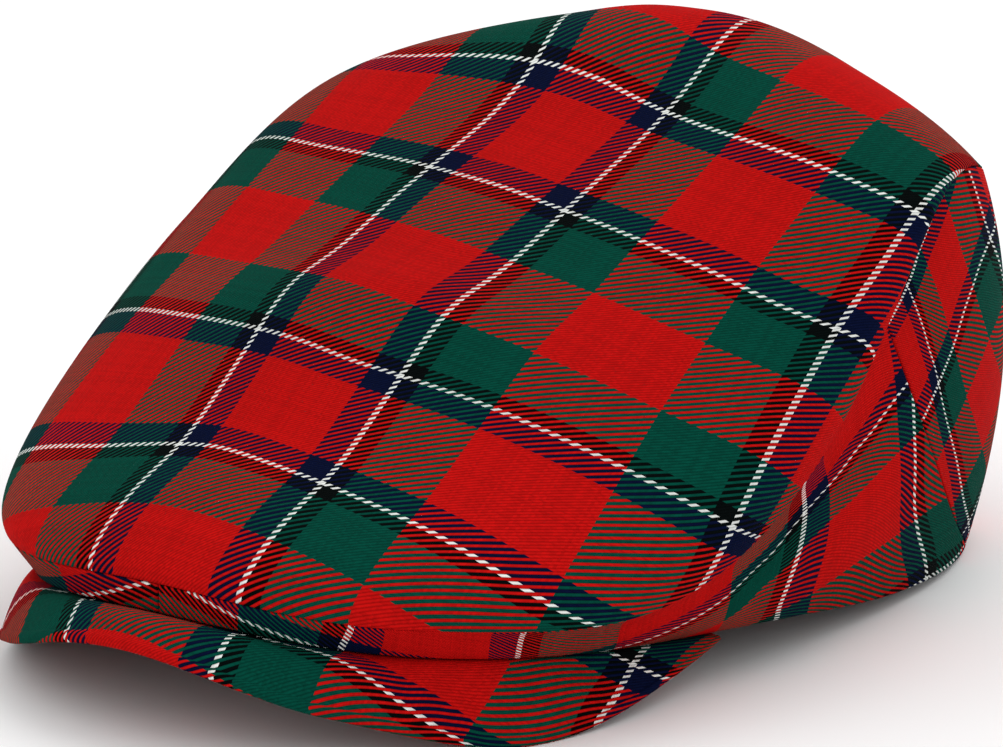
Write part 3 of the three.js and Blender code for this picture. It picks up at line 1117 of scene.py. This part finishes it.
@dataclass(frozen=True)
class Softbox:
    """A large soft light, aimed at the cap."""

    name: str
    place: tuple
    size: float
    power: float

    def hang(self, target: Vector) -> None:
        """Adds the light to the scene."""
        lamp = bpy.data.lights.new(self.name, "AREA")
        lamp.shape = "DISK"
        lamp.size = self.size
        lamp.energy = self.power
        light = add_object(self.name, lamp)
        light.location = self.place
        light.rotation_euler = (target - Vector(self.place)).to_track_quat("-Z", "Y").to_euler()


@dataclass(frozen=True)
class Studio:
    """A pale floor, soft light from all round and a camera with a long lens."""

    floor_size: float = 12.0
    floor_grey: float = 0.95
    floor_roughness: float = 0.9
    floor_specular: float = 0.1
    sky: float = 0.95  # strength of its light
    boxes: tuple = (
        Softbox("key_light", (0.5, 1.1, 2.1), 2.2, 14.0),
        Softbox("fill_light", (-1.2, -1.0, 1.6), 2.0, 1.5),
    )
    azimuth: float = 38.2  # degrees round from looking along +Y
    elevation: float = 14.5
    roll: float = -0.73
    distance: float = 1.071
    lens: float = 191.2  # millimetres on a 36 millimetre sensor
    shift: tuple = (-0.0058, 0.0015)
    target: tuple = (0.0162, -0.0183, 0.0536)
    view_end: float = 50.0  # how far the camera sees

    def build(self) -> None:
        """Sets up the whole studio."""
        self.lay_floor()
        self.light()
        self.place_camera()

    def lay_floor(self) -> None:
        """A plain pale floor."""
        sheet = bmesh.new()
        bmesh.ops.create_grid(sheet, x_segments=1, y_segments=1, size=self.floor_size / 2)
        floor = add_mesh("floor", sheet)
        material, graph = new_material("pale_floor")
        colour = (self.floor_grey,) * 3 + (1.0,)
        graph.shade({
            "Base Color": colour, "Roughness": self.floor_roughness,
            "Specular IOR Level": self.floor_specular,
        })
        floor.data.materials.append(material)

    def light(self) -> None:
        """An even pale sky and the softboxes."""
        world = bpy.data.worlds.new("studio_sky")
        world.use_nodes = True
        sky = next(node for node in world.node_tree.nodes if node.type == "BACKGROUND")
        sky.inputs["Color"].default_value = (1.0, 1.0, 1.0, 1.0)
        sky.inputs["Strength"].default_value = self.sky
        bpy.context.scene.world = world
        bpy.context.scene.view_settings.view_transform = "Standard"
        for box in self.boxes:
            box.hang(Vector(self.target))

    def place_camera(self) -> None:
        """A camera at the chosen viewing angle."""
        turn, rise, roll = (math.radians(value) for value in (self.azimuth, self.elevation, self.roll))
        ahead = Vector((-math.sin(turn) * math.cos(rise), math.cos(turn) * math.cos(rise), -math.sin(rise)))
        level = Vector((math.cos(turn), math.sin(turn), 0.0))
        over = level.cross(ahead)
        right = level * math.cos(roll) + over * math.sin(roll)
        up = over * math.cos(roll) - level * math.sin(roll)
        data = bpy.data.cameras.new("camera")
        data.lens = self.lens
        data.shift_x, data.shift_y = self.shift
        data.clip_end = self.view_end
        camera = add_object("camera", data)
        turned = Matrix((right, up, -ahead)).transposed().to_4x4()
        camera.matrix_world = Matrix.Translation(Vector(self.target) - ahead * self.distance) @ turned
        bpy.context.scene.camera = camera


def main() -> None:
    """Builds the pieces and the studio, and reports each piece."""
    logging.basicConfig(level=logging.INFO, format="%(name)s %(message)s")
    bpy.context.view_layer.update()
    form = Form()
    weaves = Weaves(TARTAN)
    rising, falling = Slope.RISING, Slope.FALLING
    pieces = (
        TopPanel(form, "top_panel", "top_cloth", ClothFinish("top_tartan", rising)),
        SidePanel(
            form, "side_panel_left", "side_cloth", ClothFinish("left_side_tartan", falling), lay=LEFT_LAY
        ),
        SidePanel(
            form, "side_panel_right", "side_cloth", ClothFinish("right_side_tartan", rising),
            lay=RIGHT_LAY, side=-1.0,
        ),
        BackPanel(form, "back_panel", "back_cloth", ClothFinish("back_tartan", falling)),
        Peak(form, "peak", "peak_cloth", ClothFinish("peak_tartan", rising)),
    )
    for piece in pieces:
        piece.build()
        piece.dress(weaves)
    Studio().build()


if __name__ == "__main__":
    main()
